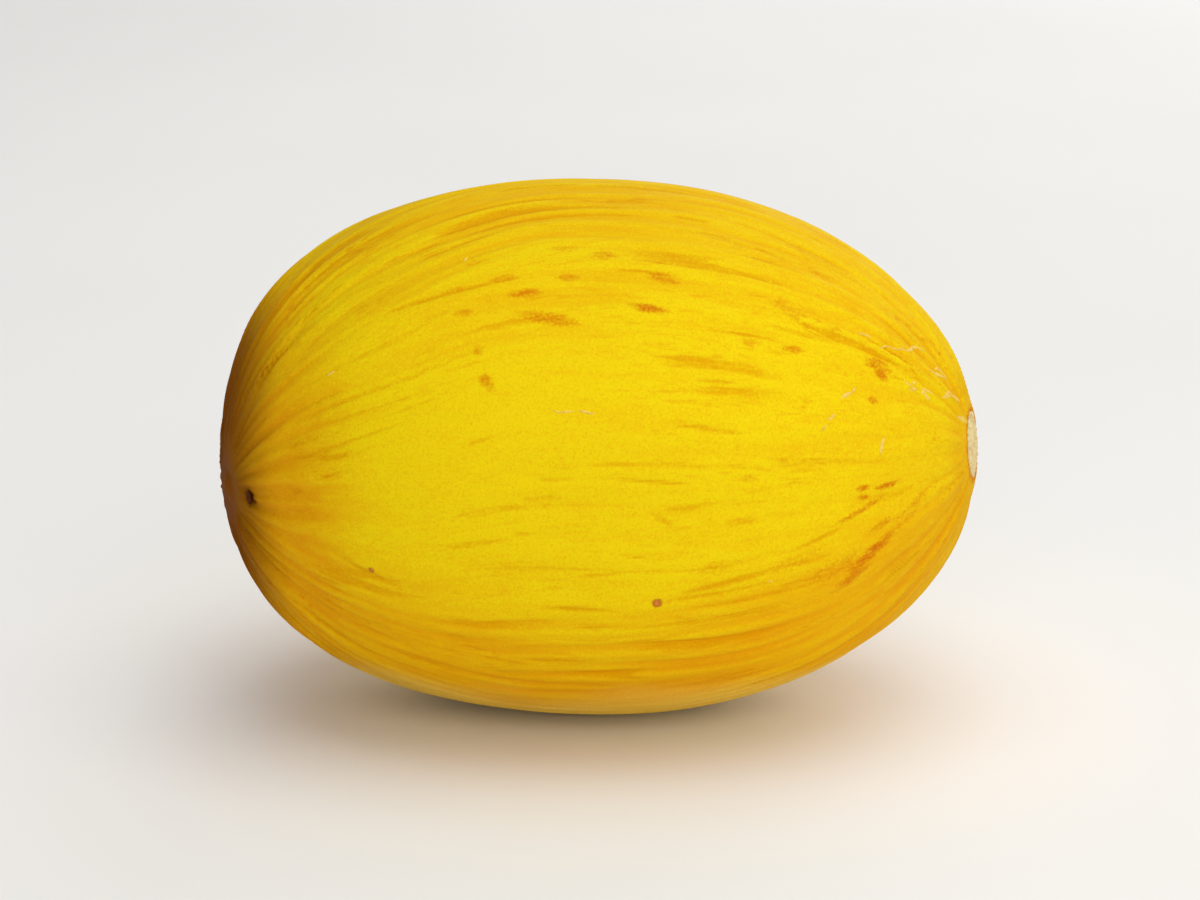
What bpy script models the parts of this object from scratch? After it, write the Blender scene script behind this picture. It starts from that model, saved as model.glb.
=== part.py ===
"""A canary melon that lies on its side, as one closed solid.

+X runs from the blossom end to the stem end, +Z is up, and -Y is the front. The origin is on the
small flat spot that the melon rests on, below the middle of its box. All sizes are in metres.
"""

import math

import bmesh
import bpy
from mathutils import Vector

# The fruit's overall form. The length is along its middle line, before the bow turns its ends.
# A fullness of 2 is an ellipse, and more is a blunter end.
LENGTH = 0.207
DIAMETER = 0.1487
BLOSSOM_END_FULLNESS = 2.35
STEM_END_FULLNESS = 2.08

# How far the middle line's two ends bend to the front and up, as the fruit grew.
BOW_TO_FRONT = 0.008
BOW_UP = 0.0045

# How far the underside is pressed flat where it rests.
REST_SPOT_DEPTH = 0.0012

# The scar where it came off its stalk: a low dome of dry tissue inside a narrow groove. The lip
# is the plain skin just outside the scar's rim, and the wall is the groove's sloping outer side.
SCAR_DIAMETER = 0.0174
SCAR_LIP = 0.0013
SCAR_GROOVE_WIDTH = 0.0018
SCAR_GROOVE_WALL = 0.0006
SCAR_GROOVE_DEPTH = 0.0008
SCAR_DOME_EDGE_HEIGHT = 0.0004
SCAR_DOME_HEIGHT = 0.0006

# The pucker at the blossom end, with a small button in its middle. It sits off the middle line.
PUCKER_TO_FRONT = 0.017
PUCKER_BELOW_MIDDLE = 0.010
PUCKER_DIAMETER = 0.030
PUCKER_DEPTH = 0.0011
BUTTON_DIAMETER = 0.010
BUTTON_HEIGHT = 0.0014

# The lengthwise furrows over the fruit's veins, between broad ribs. They wander from even
# spacing by up to this many radians of the wave, and fade in over this distance from each end.
FURROW_COUNT = 10
FURROW_DEPTH = 0.0007
FURROW_WANDER = 0.55
FURROW_FADE = 0.022

# How finely the surface is divided.
RINGS = 46
STEPS_ROUND = 80
SCAR_DOME_RINGS = 4
SHARP_ANGLE = math.radians(40)
MERGE_DISTANCE = 0.00001

RIND_COLOUR = (0.84, 0.58, 0.02, 1.0)
RIND_ROUGHNESS = 0.45

HALF_LENGTH = LENGTH / 2
RADIUS = DIAMETER / 2
SCAR_RADIUS = SCAR_DIAMETER / 2


def clear_scene():
    for old in list(bpy.data.objects):
        bpy.data.objects.remove(old, do_unlink=True)


def new_collection(name):
    collection = bpy.data.collections.new(name)
    bpy.context.scene.collection.children.link(collection)
    return collection


def ease(share):
    """A smooth step from 0 to 1."""
    share = min(max(share, 0.0), 1.0)
    return share * share * (3 - 2 * share)


def outline_point(turn):
    """The body's outline at a turn from 0, the blossom end, to pi, the stem end: x and radius."""
    along, across = -math.cos(turn), math.sin(turn)
    fullness = BLOSSOM_END_FULLNESS if along < 0 else STEM_END_FULLNESS
    reach = (abs(along) ** fullness + across**fullness) ** (1 / fullness)
    return HALF_LENGTH * along / reach, RADIUS * across / reach


def stem_end_x(radius):
    """How far along X the stem end's plain outline is at a radius."""
    return HALF_LENGTH * (1 - (radius / RADIUS) ** STEM_END_FULLNESS) ** (1 / STEM_END_FULLNESS)


def scar_outline():
    """The stem scar's rim, groove and low dome, from the rim in to the middle line."""
    rim_x = stem_end_x(SCAR_RADIUS)
    groove_x = rim_x - SCAR_GROOVE_DEPTH
    dome_x = groove_x + SCAR_DOME_EDGE_HEIGHT
    dome_radius = SCAR_RADIUS - SCAR_GROOVE_WIDTH
    points = [
        (rim_x, SCAR_RADIUS),
        (groove_x, SCAR_RADIUS - SCAR_GROOVE_WALL),
        (groove_x, dome_radius),
    ]
    for ring in range(1, SCAR_DOME_RINGS + 1):
        share = 1 - ring / SCAR_DOME_RINGS
        points.append((dome_x + SCAR_DOME_HEIGHT * (1 - share**2), dome_radius * share))
    return points


def melon_outline():
    """The whole turned outline, from the blossom end's tip to the middle of the stem scar."""
    turns = [math.pi * ring / RINGS for ring in range(RINGS + 1)]
    body = [outline_point(turn) for turn in turns]
    body[0] = (-HALF_LENGTH, 0.0)
    skin = [(x, radius) for x, radius in body if x < 0 or radius > SCAR_RADIUS + SCAR_LIP]
    return skin + scar_outline()


def turned_body():
    """The outline turned about X into a plain mesh."""
    outline = bmesh.new()
    points = [outline.verts.new((x, 0.0, radius)) for x, radius in melon_outline()]
    for first, second in zip(points, points[1:]):
        outline.edges.new((first, second))
    mesh = bpy.data.meshes.new("melon_outline")
    outline.to_mesh(mesh)
    outline.free()
    turned = bpy.data.objects.new("melon_outline", mesh)
    bpy.context.scene.collection.objects.link(turned)
    screw = turned.modifiers.new("turn", "SCREW")
    screw.axis = "X"
    screw.steps = STEPS_ROUND
    screw.render_steps = STEPS_ROUND
    screw.use_normal_flip = True
    screw.use_merge_vertices = True
    screw.merge_threshold = MERGE_DISTANCE
    graph = bpy.context.evaluated_depsgraph_get()
    body = bpy.data.meshes.new_from_object(turned.evaluated_get(graph))
    bpy.data.objects.remove(turned, do_unlink=True)
    return body


def core_at(x):
    """Where the fruit's core is at x, as (y, z): it leaves the middle line for the pucker."""
    share = ease(-x / HALF_LENGTH)
    return -PUCKER_TO_FRONT * share, -PUCKER_BELOW_MIDDLE * share


def furrow(point):
    """How far the skin sinks between ribs. The lowest line along the fruit is a rib's crest."""
    core_y, core_z = core_at(point.x)
    out_y, out_z = point.y - core_y, point.z - core_z
    angle = math.atan2(out_z, out_y) + math.pi / 2
    wander = FURROW_WANDER * math.sin(2 * angle) * math.cos(angle / 2) ** 2
    wave = 0.5 - 0.5 * math.cos(FURROW_COUNT * angle + wander)
    off_core = math.hypot(out_y, out_z)
    return FURROW_DEPTH * wave * ease((off_core - SCAR_RADIUS) / FURROW_FADE)


def pucker(point):
    """The blossom end's dimple, less the button in its middle."""
    if point.x > 0:
        return 0.0
    distance = math.hypot(point.y + PUCKER_TO_FRONT, point.z + PUCKER_BELOW_MIDDLE)
    dimple = PUCKER_DEPTH * ease(1 - distance / (PUCKER_DIAMETER / 2))
    button = BUTTON_HEIGHT * ease(1 - distance / (BUTTON_DIAMETER / 2))
    return dimple - button


def wrinkle(mesh):
    """Sinks the furrows and the pucker into the turned body, along its normals."""
    body = bmesh.new()
    body.from_mesh(mesh)
    body.normal_update()
    sunk = [v.co - v.normal * (furrow(v.co) + pucker(v.co)) for v in body.verts]
    for vertex, place in zip(body.verts, sunk):
        vertex.co = place
    body.to_mesh(mesh)
    body.free()


def bow(mesh):
    """Bends the middle line into a shallow curve, and turns each cross-section to stay square."""
    towards = Vector((0.0, -BOW_TO_FRONT, BOW_UP))
    rise = towards.length
    towards.normalize()
    for vertex in mesh.vertices:
        along = vertex.co.x
        off_line = vertex.co.dot(towards)
        tilt = math.atan(2 * rise * along / HALF_LENGTH**2)
        lift = rise * (along / HALF_LENGTH) ** 2
        vertex.co += towards * (lift + off_line * (math.cos(tilt) - 1))
        vertex.co.x -= off_line * math.sin(tilt)


def stand_on_origin(mesh):
    """Moves the mesh so that its box is centred on X and Y, and its rest plane is at Z 0."""
    xs = [v.co.x for v in mesh.vertices]
    ys = [v.co.y for v in mesh.vertices]
    middle_x = (min(xs) + max(xs)) / 2
    middle_y = (min(ys) + max(ys)) / 2
    to_middle = Vector((-middle_x, -middle_y, RADIUS - REST_SPOT_DEPTH))
    for vertex in mesh.vertices:
        vertex.co += to_middle


def rind_material():
    material = bpy.data.materials.new("waxy_yellow_rind")
    material.use_nodes = True
    shader = material.node_tree.nodes["Principled BSDF"]
    shader.inputs["Base Color"].default_value = RIND_COLOUR
    shader.inputs["Roughness"].default_value = RIND_ROUGHNESS
    shader.inputs["Metallic"].default_value = 0.0
    return material


def rest_cutter(cutters):
    """A block under the rest plane, wider than the fruit."""
    bpy.ops.mesh.primitive_cube_add(size=1.0)
    cutter = bpy.context.object
    cutter.name = "rest_spot_cutter"
    cutter.scale = (LENGTH, DIAMETER, RADIUS)
    cutter.location = (0.0, 0.0, -RADIUS / 2)
    cutter.hide_render = True
    cutter.display_type = "WIRE"
    for collection in list(cutter.users_collection):
        collection.objects.unlink(cutter)
    cutters.objects.link(cutter)
    return cutter


def make_melon():
    fruit = new_collection("canary_melon")
    cutters = new_collection("cutters")
    mesh = turned_body()
    wrinkle(mesh)
    bow(mesh)
    stand_on_origin(mesh)
    mesh.shade_smooth()
    mesh.set_sharp_from_angle(angle=SHARP_ANGLE)
    mesh.name = "melon"
    melon = bpy.data.objects.new("melon", mesh)
    fruit.objects.link(melon)
    melon.data.materials.append(rind_material())
    cut = melon.modifiers.new("rest_spot", "BOOLEAN")
    cut.operation = "DIFFERENCE"
    cut.object = rest_cutter(cutters)


clear_scene()
make_melon()
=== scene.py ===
"""The looks of a canary melon: its furrowed waxy rind, its dry scars, and a plain studio stage.

+X runs from the blossom end to the stem end, +Z is up, and -Y is the front. Lengths are in
metres and angles in radians, except where a name ends in mm or deg.
"""

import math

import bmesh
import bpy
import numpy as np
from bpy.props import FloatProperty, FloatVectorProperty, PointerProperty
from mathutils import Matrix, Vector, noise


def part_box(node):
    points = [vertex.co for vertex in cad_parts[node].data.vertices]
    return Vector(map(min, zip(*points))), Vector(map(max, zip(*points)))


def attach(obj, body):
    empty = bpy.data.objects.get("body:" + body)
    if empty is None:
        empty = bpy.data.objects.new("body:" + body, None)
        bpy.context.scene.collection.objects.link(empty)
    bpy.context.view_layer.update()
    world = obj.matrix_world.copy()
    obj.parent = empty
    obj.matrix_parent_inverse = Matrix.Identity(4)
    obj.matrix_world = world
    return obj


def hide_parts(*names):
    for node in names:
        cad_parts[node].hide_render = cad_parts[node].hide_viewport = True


bl_info = {
    "name": "Canary Melon",
    "version": (1, 0, 0),
    "blender": (4, 5, 0),
    "location": "View3D > Sidebar > Melon",
    "description": "Grows a ripe canary melon with a furrowed rind, dry scars and a studio stage",
    "category": "Add Mesh",
}

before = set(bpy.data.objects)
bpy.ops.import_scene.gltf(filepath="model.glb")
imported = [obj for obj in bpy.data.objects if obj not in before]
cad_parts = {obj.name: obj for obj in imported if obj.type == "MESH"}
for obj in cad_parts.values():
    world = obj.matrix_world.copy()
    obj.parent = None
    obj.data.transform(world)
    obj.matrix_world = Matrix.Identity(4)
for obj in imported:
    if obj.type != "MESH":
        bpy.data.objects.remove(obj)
CAD_LOW, CAD_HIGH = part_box("melon")
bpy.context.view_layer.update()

MM = 0.001

# How blunt each end is: 2 is an ellipse, and more is blunter.
BLOSSOM_END_FULLNESS = 2.35
STEM_END_FULLNESS = 2.08

# The middle line's two ends bend by this much to the front and up.
BOW = Vector((0.0, -8.0, 4.5)) * MM

# How far the underside is pressed flat, and how much shorter than the box the middle line is.
REST_SPOT_DEPTH = 1.2 * MM
MIDDLE_LINE_SHORTER_BY = 2.2 * MM

RADIUS = (CAD_HIGH.z - CAD_LOW.z + REST_SPOT_DEPTH) / 2
HALF_LENGTH = (CAD_HIGH.x - CAD_LOW.x - MIDDLE_LINE_SHORTER_BY) / 2

# About how far it is over the skin from the fruit's widest ring to either end.
QUARTER_MERIDIAN = 141 * MM


def linear(hex_colour):
    """An sRGB hex colour as linear red, green and blue, and an alpha of 1."""
    shares = [int(hex_colour[place:place + 2], 16) / 255 for place in (1, 3, 5)]
    return tuple(s / 12.92 if s <= 0.04045 else ((s + 0.055) / 1.055) ** 2.4
                 for s in shares) + (1.0,)


def colour(name, hex_colour, description):
    return FloatVectorProperty(name=name, description=description, subtype="COLOR", size=4,
                               min=0.0, max=1.0, default=linear(hex_colour))


def length(name, millimetres, description):
    return FloatProperty(name=name, description=description, unit="LENGTH", precision=5,
                         min=0.0, default=millimetres * MM)


class RindSettings(bpy.types.PropertyGroup):
    """The rind's relief and colours."""

    furrow_depth: length("Furrow depth", 0.7, "How deep the broad lengthwise furrows are")
    fold_depth: length("Fold depth", 0.9, "How deep the narrow lengthwise folds are")
    crease_depth: length("Crease depth", 0.5, "How deep the fine creases are")
    yellow: colour("Ripe yellow", "#ECCF0E", "The rind where it is ripe and smooth")
    # The amber is partly the rind's own deeper colour and partly painted shade, low on the sides, on
    # top, towards the blossom end and in the deep folds and wrinkles.
    amber: colour("Amber", "#E49B0A", "The rind towards its ends and low on its sides")
    # Painted shade: the blossom end is darkened with this dark brown where it turns from the light.
    blossom_end_shade: colour("Umber", "#7E4302", "The darkest rind, close round the blossom end")
    # The creases are darkened with this colour, partly their own colour and partly painted shade; the
    # pores are specked with it too.
    grain_and_crease_shade: colour("Crease", "#DA9602", "The rind in the bottom of a crease")
    fleck_colour: colour("Fleck", "#D27A04", "The rusty flecks along the furrows")
    blush_colour: colour("Blush", "#C85606", "The orange-red blotches near the stem end")
    ground_colour: colour("Ground spot", "#F0CE5C", "The pale underside that lay on the soil")
    puncture_colour: colour("Puncture", "#B45E20", "The reddish rim of a small healed hole")
    healed_colour: colour("Healed hole", "#D98A4C", "The paler middle of a small healed hole")
    # Painted shade: the pit and the ring round it are darkened with this colour.
    pit_shade: colour("Pit", "#5A2A0A", "The rind down in the pit at the blossom end")


class ScarSettings(bpy.types.PropertyGroup):
    """The dry tissue: the stem scar, the blossom end's remnant and the healed scratches."""

    scar_diameter: length("Stem scar", 17.4, "How wide the round scar at the stem end is")
    scratch_height: length("Scratch height", 0.2, "How far a healed scratch stands up")
    cork_colour: colour("Cork", "#EBD79C", "The pale dry tissue")
    # Stains and wear on the cork, and painted shade down in its cracks.
    cork_stain_and_crack_shade: colour("Cork in cracks", "#B98F50", "The dry tissue down in its cracks")
    scratch_colour: colour("Scratch cork", "#EFCE5E", "The thin cork of a healed scratch")
    # Stains and wear on the scratches, and painted shade down in their cracks.
    scratch_stain_and_crack_shade: colour("Scratch in cracks", "#D8962C", "The brown of a healed scratch")
    remnant_colour: colour("Blossom remnant", "#5E2C0A", "What is left of the dried blossom")
    # Stains and wear on the remnant, and painted shade down in its cracks.
    remnant_stain_and_crack_shade: colour("Remnant in cracks", "#2E1404", "The blossom remnant down in its cracks")


class StageSettings(bpy.types.PropertyGroup):
    """The floor, the lights and the camera."""

    floor_colour: colour("Floor", "#F4F3F0", "The pale matt floor")
    key_power: FloatProperty(name="Key light", description="The big soft light in front",
                             unit="POWER", min=0.0, default=10.8)
    top_power: FloatProperty(name="Top light", description="The soft light overhead",
                             unit="POWER", min=0.0, default=9.4)
    back_power: FloatProperty(name="Back light", description="The weak light behind",
                              unit="POWER", min=0.0, default=6.0)
    lens: FloatProperty(name="Lens", description="The camera's focal length in millimetres",
                        min=20.0, default=135.0)
    fruit_share: FloatProperty(name="Fruit share", min=0.1, max=1.0, default=0.633,
                               description="How much of the picture's width the fruit fills")
    view_height_deg: FloatProperty(name="View height", min=0.0, default=15.0,
                                   description="Degrees that the camera looks down by")
    view_turn_deg: FloatProperty(name="View turn", default=3.0,
                                 description="Degrees that the camera stands to the right")


# --------
# The fruit's form. These work on arrays with one row for each point.


def ease(share):
    """A smooth step from 0 to 1."""
    share = np.clip(share, 0.0, 1.0)
    return share * share * (3 - 2 * share)


def step_up(values, start, over):
    """A smooth step from 0 at the start to 1 when the values are that much further on."""
    return ease((values - start) / over)


def noise_at(points, size_mm, seed):
    """Smooth noise from about -1 to 1, with lumps of the given sizes along X, Y and Z."""
    scaled = points / (np.asarray(size_mm) * MM) + seed
    return np.array([noise.noise(place) for place in scaled.tolist()])


def plain_outline(directions):
    """Where each direction meets the unfurrowed body, before the bow, and the normal there."""
    along = directions[:, 0]
    around = np.hypot(directions[:, 1], directions[:, 2])
    fullness = np.where(along < 0, BLOSSOM_END_FULLNESS, STEM_END_FULLNESS)
    reach = (np.abs(along) ** fullness + around**fullness) ** (1 / fullness)
    places = directions * np.array([HALF_LENGTH, RADIUS, RADIUS]) / reach[:, None]
    slope_x = np.sign(along) * np.abs(along / reach) ** (fullness - 1) / HALF_LENGTH
    slope_r = (around / reach) ** (fullness - 1) / RADIUS
    outward = directions[:, 1:] / np.maximum(around, 1e-9)[:, None]
    normals = np.column_stack([slope_x, outward * slope_r[:, None]])
    return places, normals / np.linalg.norm(normals, axis=1)[:, None]


# The blossom end's pucker: where its middle is off the middle line, its dimple and its button.
PUCKER_OFF_LINE = np.array([-17.0, -10.0]) * MM
PUCKER_RADIUS = 15 * MM
PUCKER_DEPTH = 1.1 * MM
BUTTON_RADIUS = 5 * MM
BUTTON_HEIGHT = 1.4 * MM

# The pit beside the button, where the blossom's remnant sits. It is broader at its top by the
# taper, within the limits, and its edge slopes out to this many of its half sizes.
PIT_STATION = -96.3 * MM
PIT_ANGLE_DEG = -15
PIT_HALF_LENGTH = 1.5 * MM
PIT_HALF_HEIGHT = 2.4 * MM
PIT_DEPTH = 1.2 * MM
PIT_TAPER = 0.5
PIT_TAPER_LIMITS = (0.4, 1.6)
PIT_REACH = 1.3

# The seat that the stem scar lies in.
SEAT_DEPTH = 1.3 * MM
SEAT_WALL = 1.6 * MM

# The broad furrows. They wander from even spacing by up to this many radians of the wave, and
# fade in over this distance from each end.
FURROW_COUNT = 10
FURROW_WANDER = 0.55
FURROW_FADE = 22 * MM

# The smooth patch on the front towards the blossom end, and how far it calms the rind.
SMOOTH_STATION = -38 * MM
SMOOTH_HALF_LENGTH = 36 * MM
SMOOTH_ANGLE_DEG = 18
SMOOTH_HALF_ANGLE_DEG = 26
SMOOTHING = 0.7

# How restless the rind is at its calmest steepness, and how much it gains off that, by
# chance and towards each end. The limits hold after the smoothing.
RESTLESS_ON_SIDES = 0.42
RESTLESS_OFF_LEVEL = 0.36
RESTLESS_BY_CHANCE = 0.4
RESTLESS_AT_BLOSSOM = 0.95
RESTLESS_AT_STEM = 0.36
RESTLESS_LIMITS = (0.12, 1.8)
CALM_STEEPNESS_DEG = 8

# Where each gain begins, off the calm steepness or the fruit's middle, and how far it takes.
OFF_LEVEL_DEG = (20, 26)
TOWARDS_BLOSSOM = (58 * MM, 48 * MM)
TOWARDS_STEM = (62 * MM, 55 * MM)

# The sizes of the rind's lumps, lengthwise and both ways across.
RESTLESS_AREAS_MM = (70, 30, 30)
SWAY_MM = (34, 26, 26)
WIDE_FOLDS_MM = (60, 5.6, 5.6)
NARROW_FOLDS_MM = (38, 2.8, 2.8)
LONG_CREASES_MM = (46, 2.8, 2.8)
SHORT_CREASES_MM = (17, 2.1, 2.1)
LONG_CREASE_AREAS_MM = (46, 19, 19)
SHORT_CREASE_AREAS_MM = (26, 15, 15)
RIPE_AREAS_MM = (60, 22, 22)
RIPE_STREAKS_MM = (40, 6, 6)
GROUND_EDGE_MM = (24, 24, 24)

# How far the folds and creases sway sideways. The wide folds run on to the ends, where narrow
# ones would be too close together, and lose this share to the narrow ones further off.
SWAY = 3.4 * MM
WIDE_FOLDS_LOSE = 0.6
NARROW_FOLDS_GAIN = 0.7

# How far off the core each begins, and how far it takes to reach its full depth.
FOLDS_BEGIN = (6 * MM, 12 * MM)
NARROW_FOLDS_BEGIN = (22 * MM, 34 * MM)
CREASES_BEGIN = (17 * MM, 28 * MM)

# How strong the noise has to be for a crease to begin, and how much more makes it full.
LONG_CREASE_EDGE = (0.08, 0.36)
SHORT_CREASE_EDGE = (0.12, 0.36)

# How common creases are as a rule, and how much that changes from area to area.
LONG_CREASES_COMMON = 0.45
LONG_CREASES_VARY = 1.7
SHORT_CREASES_COMMON = 0.3
SHORT_CREASES_VARY = 1.9


def rind_coordinates(places):
    """How far along the rind each point is, its angle round the core from the lowest line,
    and how far off the core it is."""
    share = ease(-places[:, 0] / HALF_LENGTH)[:, None]
    off = places[:, 1:] - PUCKER_OFF_LINE * share
    off_core = np.hypot(off[:, 0], off[:, 1])
    angle = np.arctan2(off[:, 1], off[:, 0]) + math.pi / 2
    turn = np.arctan2(off_core / RADIUS, places[:, 0] / HALF_LENGTH)
    return QUARTER_MERIDIAN * (1 - turn / (math.pi / 2)), angle, off_core


def pattern_coordinates(along, angle, off_core):
    """Where each point is in the rind's pattern: along it, and round it on a radius that shrinks
    towards the ends only half as fast as the fruit, so that the pattern there stays coarse."""
    radius = np.sqrt(off_core * RADIUS)
    return np.column_stack([along, radius * np.cos(angle), radius * np.sin(angle)])


def from_mark(places, station, angle_deg, lean_deg):
    """How far each point is from a spot on the front, along a leaning line and across it."""
    around = np.hypot(places[:, 1], places[:, 2])
    turned_up = np.arctan2(places[:, 2], -places[:, 1])
    run = places[:, 0] - station
    climb = around * (turned_up - math.radians(angle_deg))
    lean = math.radians(lean_deg)
    return (run * math.cos(lean) + climb * math.sin(lean),
            climb * math.cos(lean) - run * math.sin(lean))


def pit_share(places):
    """How far into the blossom pit each point is, from 0 to 1."""
    forward, sideways = from_mark(places, PIT_STATION, PIT_ANGLE_DEG, 0)
    taper = np.clip(1 + PIT_TAPER * sideways / PIT_HALF_HEIGHT, *PIT_TAPER_LIMITS)
    half_length = PIT_HALF_LENGTH * taper
    return ease(PIT_REACH - np.hypot(forward / half_length, sideways / PIT_HALF_HEIGHT))


def broad_relief(places, angle, off_core, scar_radius, furrow_depth):
    """How far the furrows, the pucker, the pit and the stem scar's seat sink the rind."""
    wander = FURROW_WANDER * np.sin(2 * angle) * np.cos(angle / 2) ** 2
    wave = 0.5 - 0.5 * np.cos(FURROW_COUNT * angle + wander)
    furrows = furrow_depth * wave * ease((off_core - scar_radius) / FURROW_FADE)
    dimple = PUCKER_DEPTH * ease(1 - off_core / PUCKER_RADIUS)
    button = BUTTON_HEIGHT * ease(1 - off_core / BUTTON_RADIUS)
    blossom_end = dimple - button + PIT_DEPTH * pit_share(places)
    seat = SEAT_DEPTH * ease((scar_radius + SEAT_WALL / 2 - off_core) / SEAT_WALL)
    return furrows + np.where(places[:, 0] < 0, blossom_end, seat)


def steepness_deg(places):
    """How far up or down from level each point's side of the fruit is, from -90 to 90."""
    return np.degrees(np.arctan2(places[:, 2], np.abs(places[:, 1])))


def restlessness(places, along, wrapped):
    """How strongly the rind is folded at each point, within the limits."""
    uneven = noise_at(wrapped, RESTLESS_AREAS_MM, seed=3.0)
    off_level = step_up(np.abs(steepness_deg(places) - CALM_STEEPNESS_DEG), *OFF_LEVEL_DEG)
    towards_blossom = step_up(-along, *TOWARDS_BLOSSOM)
    towards_stem = step_up(along, *TOWARDS_STEM)
    restless = RESTLESS_ON_SIDES + RESTLESS_OFF_LEVEL * off_level + RESTLESS_BY_CHANCE * uneven
    restless += RESTLESS_AT_BLOSSOM * towards_blossom + RESTLESS_AT_STEM * towards_stem
    forward, sideways = from_mark(places, SMOOTH_STATION, SMOOTH_ANGLE_DEG, 0)
    half_height = RADIUS * math.radians(SMOOTH_HALF_ANGLE_DEG)
    smooth = np.exp(-((forward / SMOOTH_HALF_LENGTH) ** 2) - (sideways / half_height) ** 2)
    return np.clip(restless * (1 - SMOOTHING * smooth), *RESTLESS_LIMITS)


def fine_relief(wrapped, angle, off_core, restless):
    """How deep each point lies in the lengthwise folds and in the creases, each from 0 to
    about 1."""
    sway = SWAY * noise_at(wrapped, SWAY_MM, seed=7.0)
    sideways = np.column_stack([np.zeros(len(angle)), -np.sin(angle), np.cos(angle)])
    swayed = wrapped + sideways * sway[:, None]
    wide = noise_at(swayed, WIDE_FOLDS_MM, seed=11.0)
    narrow = noise_at(swayed, NARROW_FOLDS_MM, seed=13.0)
    off_end = step_up(off_core, *NARROW_FOLDS_BEGIN)
    folds = 0.5 + wide * (1 - WIDE_FOLDS_LOSE * off_end) + narrow * NARROW_FOLDS_GAIN * off_end
    folds = np.clip(folds, 0.0, 1.0) * step_up(off_core, *FOLDS_BEGIN)
    long_creases = step_up(noise_at(swayed, LONG_CREASES_MM, seed=19.0), *LONG_CREASE_EDGE)
    short_creases = step_up(noise_at(swayed, SHORT_CREASES_MM, seed=29.0), *SHORT_CREASE_EDGE)
    areas = noise_at(wrapped, LONG_CREASE_AREAS_MM, seed=41.0)
    where_long = ease(LONG_CREASES_COMMON + LONG_CREASES_VARY * areas)
    areas = noise_at(wrapped, SHORT_CREASE_AREAS_MM, seed=53.0)
    where_short = ease(SHORT_CREASES_COMMON + SHORT_CREASES_VARY * areas)
    creases = np.maximum(where_long * long_creases, where_short * short_creases)
    return folds, creases * step_up(off_core, *CREASES_BEGIN) * (0.5 + 0.5 * restless)


# Marks and the clearest creases on the rind, each (station mm, angle deg, half-length mm,
# half-width mm, lean deg, strength). A lean turns a mark's stem end up.
RUSTY_STREAKS = [
    (-37, 44, 4.6, 1.7, 2, 0.85),
    (-25, 52, 5.5, 1.8, 4, 0.85),
    (-19, 48, 7.5, 2.0, 3, 1.0),
    (-11, 42, 13.0, 2.4, -9, 1.0),
    (-6, 52, 5.0, 1.9, 0, 0.85),
    (-8, 60, 7.5, 2.0, 0, 0.75),
    (4, 58, 6.0, 2.4, 0, 0.8),
    (22, 53, 7.5, 2.4, -8, 0.9),
    (-32, 35, 2.6, 2.4, 0, 0.8),
    (-29, 28, 4.2, 2.4, -48, 0.95),
    (48, 40, 5.0, 2.0, 0, 0.75),
    (60, 40, 4.6, 1.6, 8, 0.95),
    (58, 51, 8.0, 3.0, -16, 0.75),
    (66, 68, 6.0, 2.4, -18, 0.7),
    (-33, 57, 8.0, 2.0, 4, 0.6),
    (-40, 50, 8.0, 1.6, 9, 0.6),
    (12, 34, 9.0, 1.2, -2, 0.55),
    (33, 23, 9.0, 1.0, -3, 0.5),
    (38, -12, 11.0, 3.0, 4, 0.62),
    (46, -2, 7.0, 2.4, 0, 0.62),
    (48, 8, 4.0, 2.0, 0, 0.62),
    (60, -14, 12.0, 3.2, 10, 0.62),
    (50, -33, 2.2, 2.0, 0, 0.6),
    (29, -29, 2.0, 1.8, 0, 0.6),
]
CREASES = [
    (36, 19, 15.0, 0.8, -6, 0.85),
    (-2, -20, 13.0, 1.0, -2, 1.0),
    (41, -16, 16.0, 1.3, 6, 1.0),
    (-8, -36, 13.0, 1.0, 0, 0.9),
    (15, -8, 6.0, 0.7, -10, 0.8),
    (-43, 49, 23.0, 0.9, 10, 0.95),
    (20, 8, 15.0, 0.8, -4, 0.9),
    (23, 0, 5.0, 1.4, -28, 0.7),
    (-62, -18, 13.0, 0.9, -13, 1.0),
    (-30, 16, 6.0, 0.8, 18, 0.7),
    (30, 2, 9.0, 0.8, 4, 0.8),
    (4, -12, 8.0, 0.8, 3, 0.75),
    (58, 12, 9.0, 0.8, -3, 0.7),
    (66, -10, 10.0, 0.9, 12, 0.8),
]
BLUSHES = [
    (18, 45, 8.0, 2.0, -7, 0.95),
    (83, 43, 4.8, 3.4, 0, 0.8),
    (84, 40, 2.6, 2.0, -20, 0.95),
    (92, 48, 2.4, 2.4, 0, 0.5),
    (82, 30, 2.0, 1.6, 30, 0.9),
    (79, 2, 2.4, 1.3, 0, 1.0),
    (85, 1, 4.6, 1.2, 3, 1.0),
    (79, -1, 2.2, 1.2, 0, 0.9),
    (78, -5, 10.0, 1.3, 16, 0.85),
    (91, -10, 7.0, 1.6, 22, 0.7),
    (83, -12, 5.0, 1.7, 12, 0.75),
    (80, -20, 10.5, 2.6, 26, 0.9),
    (74, -26, 8.0, 2.6, 20, 0.85),
    (88, -16, 8.0, 1.6, 26, 0.65),
    (45, 15, 1.3, 1.3, 0, 0.75),
    (70, -20, 12.0, 5.5, 14, 0.6),
]
# The painted shade round the pit.
PIT_SHADE_HALO = (PIT_STATION / MM, PIT_ANGLE_DEG, 2.6, 3.6, 0, 0.4)

# Where a mark ends, and how far in it takes to reach its strength, both in its half sizes.
MARK_END = 1.45
MARK_FADE = 1.2

# How wide the blushed ring round the stem scar is.
SCAR_COLLAR = 5 * MM

# How amber the rind is low on its sides, on top, at its stem end and close round the scar.
# The amber low on the sides and on top is partly painted shade.
AMBER_LOW = 0.77
AMBER_HIGH = 0.36
AMBER_AT_STEM = 0.3
AMBER_ROUND_SCAR = 0.35

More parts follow.
